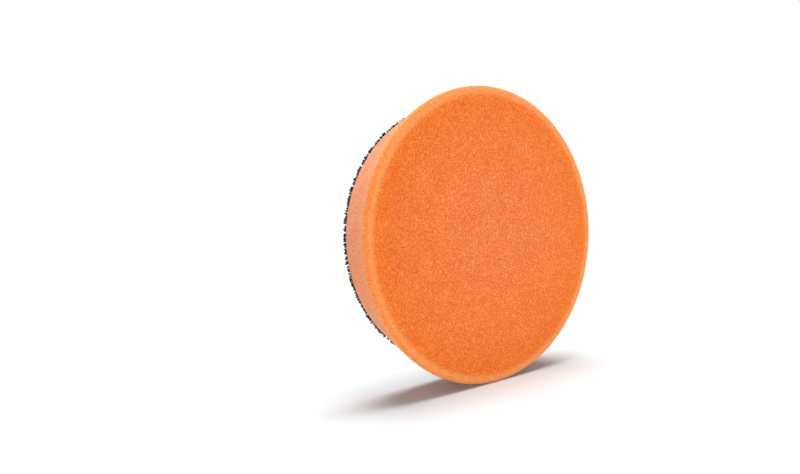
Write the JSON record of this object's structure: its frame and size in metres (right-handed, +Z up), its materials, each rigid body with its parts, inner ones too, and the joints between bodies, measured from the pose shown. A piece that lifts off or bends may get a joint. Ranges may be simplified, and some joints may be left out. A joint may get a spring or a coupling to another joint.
{
  "type": "polishing pad",
  "caption": "Round tapered foam polishing pad with a flat working face, a rounded shoulder and a smaller hook-and-loop back disc.",
  "frame": {"origin": "centre of the loop face, at the tips of the standing loops", "axes": "+Y along the spin axis, out of the loop face towards the machine; the working face looks towards -Y; +Z up, with the pad standing on its edge at z = -72.5 mm"},
  "size_m": [0.145, 0.032, 0.145],
  "materials": {
    "foam": "matte",
    "adhesive": "satin",
    "ground_knit": "matte",
    "loop_yarn": "matte"
  },
  "bodies": {
    "root": {"foam_body": "foam", "adhesive_film": "adhesive", "loop_cloth": "ground_knit", "loop_pile": "loop_yarn"}
  },
  "joints": []
}
